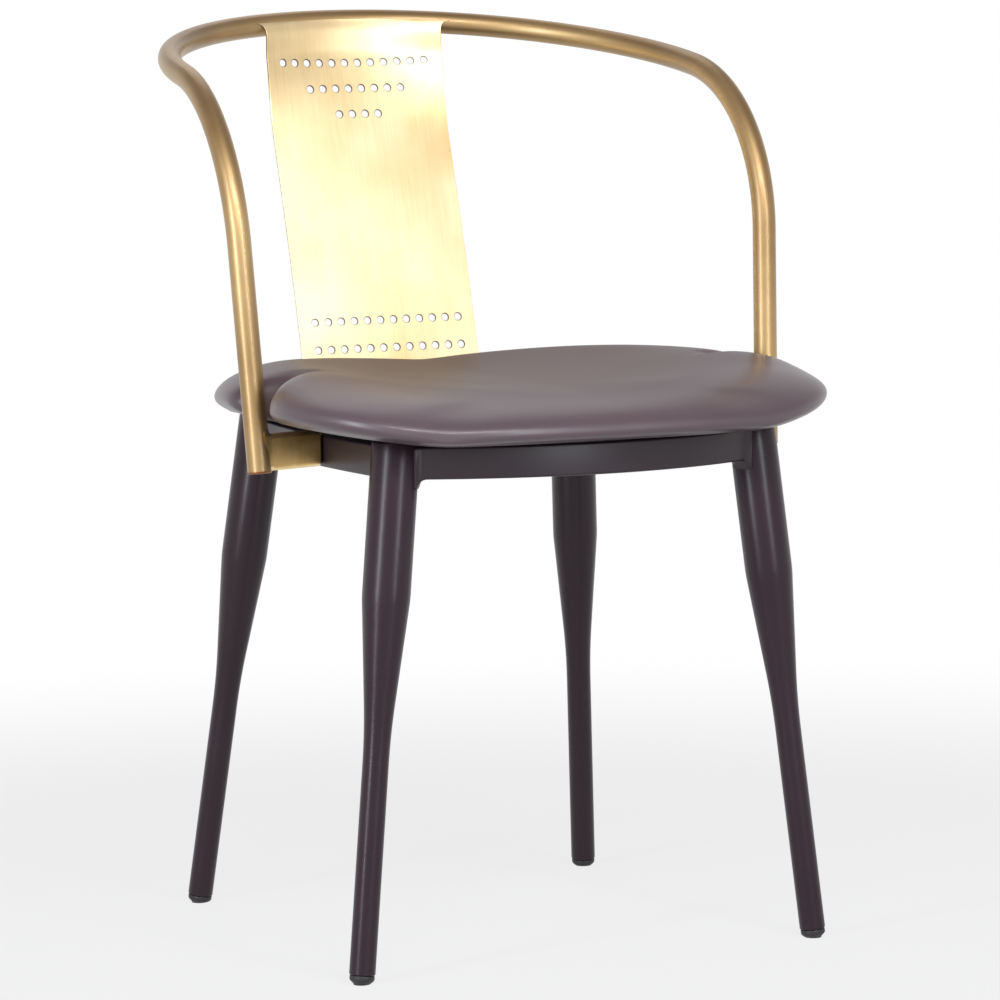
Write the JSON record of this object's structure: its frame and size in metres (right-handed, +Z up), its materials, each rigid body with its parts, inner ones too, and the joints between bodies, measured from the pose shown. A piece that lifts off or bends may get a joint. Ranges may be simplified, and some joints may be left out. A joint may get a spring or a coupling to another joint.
{
  "type": "dining armchair",
  "caption": "Dining armchair with a bent brass hoop that is back rail and arms, a perforated brass splat, tapered tube legs and a padded saddle seat.",
  "frame": {"origin": "on the floor, under the middle of the chair's overall outline", "axes": "+Z up, -Y the front, where the sitter's legs go, +X to the right of someone who looks at the front"},
  "size_m": [0.5152, 0.5864, 0.7936],
  "materials": {
    "powder_coat": "satin powder coat, dark aubergine black",
    "glide_plastic": "matt moulded plastic",
    "spacer_rubber": "matt rubber",
    "zinc_steel": "zinc plated",
    "brushed_brass": "brushed along its length, lacquered",
    "antique_brass": "brushed, lightly darkened",
    "plywood": "raw birch plywood",
    "seat_foam": "open foam",
    "upholstery": "smooth taupe leatherette, satin",
    "dust_cloth": "non-woven black cloth"
  },
  "bodies": {
    "root": {"bracket_bolt_left_1": "zinc_steel", "bracket_bolt_left_2": "zinc_steel", "bracket_bolt_right_1": "zinc_steel", "bracket_bolt_right_2": "zinc_steel", "bracket_left": "antique_brass", "bracket_right": "antique_brass", "corner_plate_front_left": "powder_coat", "corner_plate_front_right": "powder_coat", "corner_plate_rear_left": "powder_coat", "corner_plate_rear_right": "powder_coat", "dust_cover": "dust_cloth", "glide_front_left": "glide_plastic", "glide_front_right": "glide_plastic", "glide_rear_left": "glide_plastic", "glide_rear_right": "glide_plastic", "hoop_cap_left": "antique_brass", "hoop_cap_right": "antique_brass", "hoop_tube": "brushed_brass", "leg_front_left": "powder_coat", "leg_front_right": "powder_coat", "leg_rear_left": "powder_coat", "leg_rear_right": "powder_coat", "rail_front": "powder_coat", "rail_left": "powder_coat", "rail_rear": "powder_coat", "rail_right": "powder_coat", "seat_board": "plywood", "seat_cover": "upholstery", "seat_foam": "seat_foam", "seat_screw_front_left": "zinc_steel", "seat_screw_front_right": "zinc_steel", "seat_screw_rear_left": "zinc_steel", "seat_screw_rear_right": "zinc_steel", "seat_spacer_front_left": "spacer_rubber", "seat_spacer_front_right": "spacer_rubber", "seat_spacer_rear_left": "spacer_rubber", "seat_spacer_rear_right": "spacer_rubber", "splat": "brushed_brass", "splat_screw_1": "zinc_steel", "splat_screw_2": "zinc_steel", "splat_screw_3": "zinc_steel", "tee_nut_front_left": "zinc_steel", "tee_nut_front_right": "zinc_steel", "tee_nut_rear_left": "zinc_steel", "tee_nut_rear_right": "zinc_steel"}
  },
  "joints": []
}
